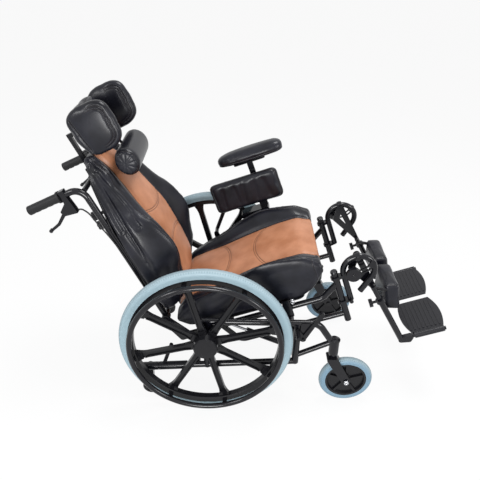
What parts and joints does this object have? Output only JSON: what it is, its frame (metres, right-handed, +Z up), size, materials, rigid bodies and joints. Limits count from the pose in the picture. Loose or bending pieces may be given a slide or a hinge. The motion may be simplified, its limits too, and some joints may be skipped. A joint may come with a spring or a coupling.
{
  "type": "tilt in space wheelchair",
  "caption": "Manual tilt-in-space wheelchair with reclining padded back, wing headrest, elevating legrests with flip-up footplates, moulded rear wheels, hand rims and casters.",
  "frame": {"origin": "floor level, at the middle of the chair's footprint (centre of its bounding box's bottom face)", "axes": "+X forward, the way the user faces; +Y to the user's left; +Z up"},
  "size_m": [1.4644, 0.709, 1.1087],
  "materials": {
    "grey_tyre": "matt pale blue-grey tyre",
    "black_plastic": "gloss black moulding",
    "black_rubber": "matt black grip",
    "leatherette": "black leather-cloth over foam",
    "foot_plastic": "black ribbed plastic",
    "panel_plastic": "black moulded panel",
    "cable_rubber": "black cable housing",
    "spring_rod_chrome": "polished",
    "handrim_alloy": "gloss black coat",
    "black_frame": "gloss black powder coat"
  },
  "bodies": {
    "base": {"base_side_left": "black_frame", "base_side_right": "black_frame", "base_cross_tubes": "black_frame"},
    "seat": {"seat_side_left": "black_frame", "seat_side_right": "black_frame", "seat_cross_tubes": "black_frame", "seat_pan": "panel_plastic", "seat_cushion": "leatherette", "armrest_frame": "black_frame", "hip_pad": "leatherette"},
    "back": {"back_posts": "black_frame", "back_crossbars": "black_frame", "back_panel": "panel_plastic", "back_cushion": "leatherette", "grips": "black_rubber", "lever_bodies": "black_frame", "brake_cables": "cable_rubber", "back_knobs": "black_frame"},
    "headrest": {"headrest_carrier": "black_frame", "neck_roll": "leatherette"},
    "head_pad": {"headrest_pad": "leatherette"},
    "arm_lift": {"arm_post": "black_frame", "arm_pad": "leatherette"},
    "height_button": {"arm_button": "black_plastic"},
    "tilt_cylinder": {"tilt_spring_cylinder": "black_frame"},
    "tilt_rod": {"tilt_spring_rod": "spring_rod_chrome"},
    "recline_cylinder": {"recline_spring_cylinder": "black_frame"},
    "recline_rod": {"recline_spring_rod": "spring_rod_chrome"},
    "rear_wheel_left": {"rear_tyre_left": "grey_tyre", "mag_wheel_left": "black_plastic", "handrim_left": "handrim_alloy"},
    "caster_left": {"caster_fork_left": "black_frame"},
    "caster_wheel_left": {"caster_hub_left": "black_plastic", "caster_tyre_left": "grey_tyre"},
    "wheel_lock_left": {"lock_lever_left": "black_plastic"},
    "tipper_left": {"tipper_arm_left": "black_frame"},
    "tipper_roller_left": {"tipper_wheel_left": "black_plastic"},
    "brake_left": {"brake_lever_left": "black_frame"},
    "wing_left": {"headrest_wing_left": "leatherette"},
    "legrest_left": {"legrest_hanger_left": "black_frame"},
    "legrest_left_lift": {"legrest_link_left": "black_frame"},
    "shin_left": {"shin_tube_left": "black_frame"},
    "calf_left": {"calf_pad_left": "leatherette"},
    "foot_left": {"footplate_left": "foot_plastic"},
    "rear_wheel_right": {"rear_tyre_right": "grey_tyre", "mag_wheel_right": "black_plastic", "handrim_right": "handrim_alloy"},
    "caster_right": {"caster_fork_right": "black_frame"},
    "caster_wheel_right": {"caster_hub_right": "black_plastic", "caster_tyre_right": "grey_tyre"},
    "wheel_lock_right": {"lock_lever_right": "black_plastic"},
    "tipper_right": {"tipper_arm_right": "black_frame"},
    "tipper_roller_right": {"tipper_wheel_right": "black_plastic"},
    "brake_right": {"brake_lever_right": "black_frame"},
    "wing_right": {"headrest_wing_right": "leatherette"},
    "legrest_right": {"legrest_hanger_right": "black_frame"},
    "legrest_right_lift": {"legrest_link_right": "black_frame"},
    "shin_right": {"shin_tube_right": "black_frame"},
    "calf_right": {"calf_pad_right": "leatherette"},
    "foot_right": {"footplate_right": "foot_plastic"}
  },
  "joints": [
    {"name": "seat_tilt", "type": "hinge", "parent": "base", "child": "seat", "pos_m": [0.17817, 0, 0.29683], "axis": [0, -1, 0], "range_deg": [-20, 10]},
    {"name": "tilt_spring_turn", "type": "hinge", "parent": "base", "child": "tilt_cylinder", "pos_m": [0.14282, -0.165, 0.192], "axis": [0, -1, 0], "range_deg": [-19.55, 10.28]},
    {"name": "tilt_spring_stroke", "type": "slide", "parent": "tilt_cylinder", "child": "tilt_rod", "axis": [-0.918, 0, 0.3967], "range_m": [-0.0199, 0.0388]},
    {"name": "back_recline", "type": "hinge", "parent": "seat", "child": "back", "pos_m": [-0.29891, 0, 0.33283], "axis": [0, -1, 0], "range_deg": [0, 35]},
    {"name": "recline_spring_turn", "type": "hinge", "parent": "seat", "child": "recline_cylinder", "pos_m": [0.1116, 0, 0.34816], "axis": [0, -1, 0], "range_deg": [-4.75, 1]},
    {"name": "recline_spring_stroke", "type": "slide", "parent": "recline_cylinder", "child": "recline_rod", "axis": [-0.967, 0, -0.2549], "range_m": [-0.0508, 0.001]},
    {"name": "rear_wheel_left_turn", "type": "hinge", "parent": "base", "child": "rear_wheel_left", "pos_m": [-0.14718, 0.3, 0.305], "axis": [0, 1, 0], "continuous": true},
    {"name": "caster_left_swivel", "type": "hinge", "parent": "base", "child": "caster_left", "pos_m": [0.31482, 0.246, 0.24], "axis": [0, 0, 1], "continuous": true},
    {"name": "caster_wheel_left_turn", "type": "hinge", "parent": "caster_left", "child": "caster_wheel_left", "pos_m": [0.37282, 0.246, 0.1], "axis": [0, 1, 0], "continuous": true},
    {"name": "wheel_lock_left_turn", "type": "hinge", "parent": "base", "child": "wheel_lock_left", "pos_m": [0.19682, 0.264, 0.3], "axis": [0, -1, 0], "range_deg": [0, 16]},
    {"name": "tipper_left_turn", "type": "hinge", "parent": "base", "child": "tipper_left", "pos_m": [-0.36118, 0.246, 0.14082], "axis": [-0.9972, 0, -0.0745], "range_deg": [0, 180]},
    {"name": "tipper_roller_left_turn", "type": "hinge", "parent": "tipper_left", "child": "tipper_roller_left", "pos_m": [-0.36118, 0.246, 0.044], "axis": [0, 1, 0], "continuous": true},
    {"name": "brake_left_squeeze", "type": "hinge", "parent": "back", "child": "brake_left", "pos_m": [-0.60627, 0.19, 0.7531], "axis": [0, 1, 0], "range_deg": [0, 18], "stiffness_Nm_per_rad": 1, "springref_deg": -20.05},
    {"name": "wing_left_turn", "type": "hinge", "parent": "head_pad", "child": "wing_left", "pos_m": [-0.55928, 0.104, 0.98296], "axis": [-0.4384, 0, 0.8988], "range_deg": [-8, 25]},
    {"name": "legrest_left_swing", "type": "hinge", "parent": "seat", "child": "legrest_left", "pos_m": [0.32217, 0.2, 0.45672], "axis": [-0.342, 0, 0.9397], "range_deg": [0, 80]},
    {"name": "legrest_left_elevate", "type": "hinge", "parent": "legrest_left", "child": "legrest_left_lift", "pos_m": [0.36339, 0.2, 0.60954], "axis": [0, -1, 0], "range_deg": [0, 60]},
    {"name": "shin_left_length", "type": "slide", "parent": "legrest_left_lift", "child": "shin_left", "axis": [0.5098, 0, -0.8603], "range_m": [0, 0.08]},
    {"name": "calf_left_turn", "type": "hinge", "parent": "legrest_left_lift", "child": "calf_left", "pos_m": [0.45053, 0.174, 0.45795], "axis": [0.5098, 0, -0.8603], "range_deg": [0, 60]},
    {"name": "foot_left_flip", "type": "hinge", "parent": "shin_left", "child": "foot_left", "pos_m": [0.66892, 0.2, 0.29347], "axis": [-0.9397, 0, -0.342], "range_deg": [0, 60]},
    {"name": "rear_wheel_right_turn", "type": "hinge", "parent": "base", "child": "rear_wheel_right", "pos_m": [-0.14718, -0.3, 0.305], "axis": [0, 1, 0], "continuous": true},
    {"name": "caster_right_swivel", "type": "hinge", "parent": "base", "child": "caster_right", "pos_m": [0.31482, -0.246, 0.24], "axis": [0, 0, 1], "continuous": true},
    {"name": "caster_wheel_right_turn", "type": "hinge", "parent": "caster_right", "child": "caster_wheel_right", "pos_m": [0.37282, -0.246, 0.1], "axis": [0, 1, 0], "continuous": true},
    {"name": "wheel_lock_right_turn", "type": "hinge", "parent": "base", "child": "wheel_lock_right", "pos_m": [0.19682, -0.264, 0.3], "axis": [0, -1, 0], "range_deg": [0, 16]},
    {"name": "tipper_right_turn", "type": "hinge", "parent": "base", "child": "tipper_right", "pos_m": [-0.36118, -0.246, 0.14082], "axis": [0.9972, 0, 0.0745], "range_deg": [0, 180]},
    {"name": "tipper_roller_right_turn", "type": "hinge", "parent": "tipper_right", "child": "tipper_roller_right", "pos_m": [-0.36118, -0.246, 0.044], "axis": [0, 1, 0], "continuous": true},
    {"name": "brake_right_squeeze", "type": "hinge", "parent": "back", "child": "brake_right", "pos_m": [-0.60627, -0.19, 0.7531], "axis": [0, 1, 0], "range_deg": [0, 18], "stiffness_Nm_per_rad": 1, "springref_deg": -20.05},
    {"name": "wing_right_turn", "type": "hinge", "parent": "head_pad", "child": "wing_right", "pos_m": [-0.55928, -0.104, 0.98296], "axis": [0.4384, 0, -0.8988], "range_deg": [-8, 25]},
    {"name": "legrest_right_swing", "type": "hinge", "parent": "seat", "child": "legrest_right", "pos_m": [0.32217, -0.2, 0.45672], "axis": [0.342, 0, -0.9397], "range_deg": [0, 80]},
    {"name": "legrest_right_elevate", "type": "hinge", "parent": "legrest_right", "child": "legrest_right_lift", "pos_m": [0.36339, -0.2, 0.60954], "axis": [0, -1, 0], "range_deg": [0, 60]},
    {"name": "shin_right_length", "type": "slide", "parent": "legrest_right_lift", "child": "shin_right", "axis": [0.5098, 0, -0.8603], "range_m": [0, 0.08]},
    {"name": "calf_right_turn", "type": "hinge", "parent": "legrest_right_lift", "child": "calf_right", "pos_m": [0.45053, -0.174, 0.45795], "axis": [-0.5098, 0, 0.8603], "range_deg": [0, 60]},
    {"name": "foot_right_flip", "type": "hinge", "parent": "shin_right", "child": "foot_right", "pos_m": [0.66892, -0.2, 0.29347], "axis": [0.9397, 0, 0.342], "range_deg": [0, 60]},
    {"name": "headrest_height", "type": "slide", "parent": "back", "child": "headrest", "axis": [-0.4384, 0, 0.8988], "range_m": [0, 0.08]},
    {"name": "headrest_tilt", "type": "hinge", "parent": "headrest", "child": "head_pad", "pos_m": [-0.57552, 0, 0.96836], "axis": [0, -1, 0], "range_deg": [-4, 20]},
    {"name": "arm_height", "type": "slide", "parent": "seat", "child": "arm_lift", "axis": [-0.342, 0, 0.9397], "range_m": [0, 0.08]},
    {"name": "height_button_press", "type": "slide", "parent": "seat", "child": "height_button", "axis": [0, -1, 0], "range_m": [0, 0.003], "stiffness_N_per_m": 600, "springref_m": -0.001}
  ],
  "couplings": [
    {"joint": "tilt_spring_turn", "follows": "seat_tilt", "ratio": 0.92759},
    {"joint": "tilt_spring_stroke", "follows": "seat_tilt", "m_per_rad": -0.10825},
    {"joint": "recline_spring_turn", "follows": "back_recline", "ratio": -0.10711},
    {"joint": "recline_spring_stroke", "follows": "back_recline", "m_per_rad": -0.081539}
  ]
}
